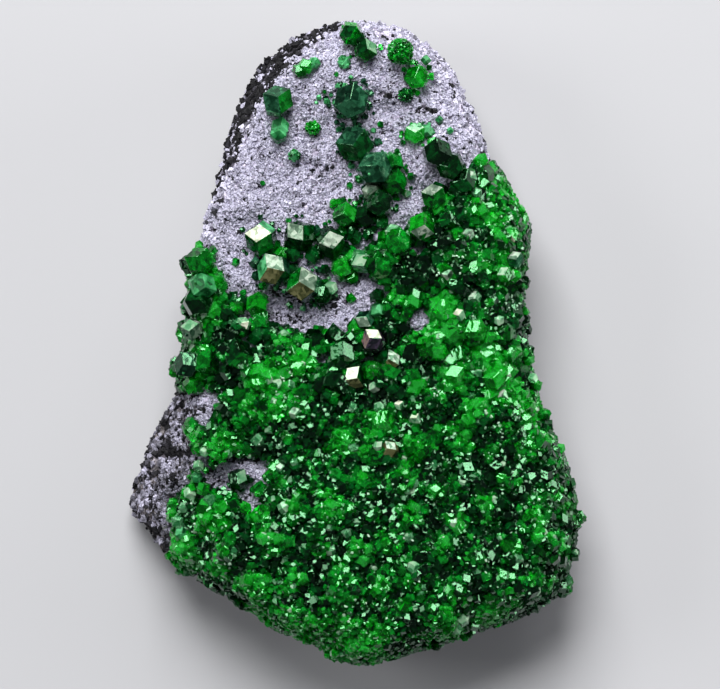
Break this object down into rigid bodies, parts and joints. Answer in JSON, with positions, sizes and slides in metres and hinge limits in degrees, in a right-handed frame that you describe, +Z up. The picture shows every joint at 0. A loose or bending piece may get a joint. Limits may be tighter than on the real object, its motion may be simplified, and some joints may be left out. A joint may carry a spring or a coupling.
{
  "type": "garnet crystals on matrix",
  "caption": "Hand specimen of pale lilac-grey granular rock with green garnet dodecahedra: scattered single crystals on a bare upper field and a drusy crust over the lower part.",
  "frame": {"origin": "under the middle of the specimen, on the flat back that it rests on", "axes": "+Z up, out of the crystal-covered front; +Y along the slab to its narrow bare end; +X to the right seen from the front"},
  "size_m": [0.0346, 0.0488, 0.0126],
  "materials": {
    "rock": "matt sugary granular rock, pale lilac-grey with dark specks, browner on the broken faces",
    "garnet": "clear emerald-green crystal with bright flat faces"
  },
  "bodies": {
    "root": {"matrix": "rock", "garnet_crust": "garnet", "crystals_top_edge": "garnet", "crystal_top_small": "garnet", "crystal_top_flat": "garnet", "crystal_upper_right": "garnet", "crystals_right_pair": "garnet", "crystal_left_large": "garnet", "crystal_left_low": "garnet", "crystal_left_small": "garnet", "crystal_field_small": "garnet", "crystal_dark_large": "garnet", "crystals_middle": "garnet", "crystals_chain_end": "garnet", "crystal_cube_left": "garnet", "crystals_cube_pair": "garnet", "crystal_cube_low": "garnet", "crystals_cube_three": "garnet", "crystal_window": "garnet"}
  },
  "joints": []
}
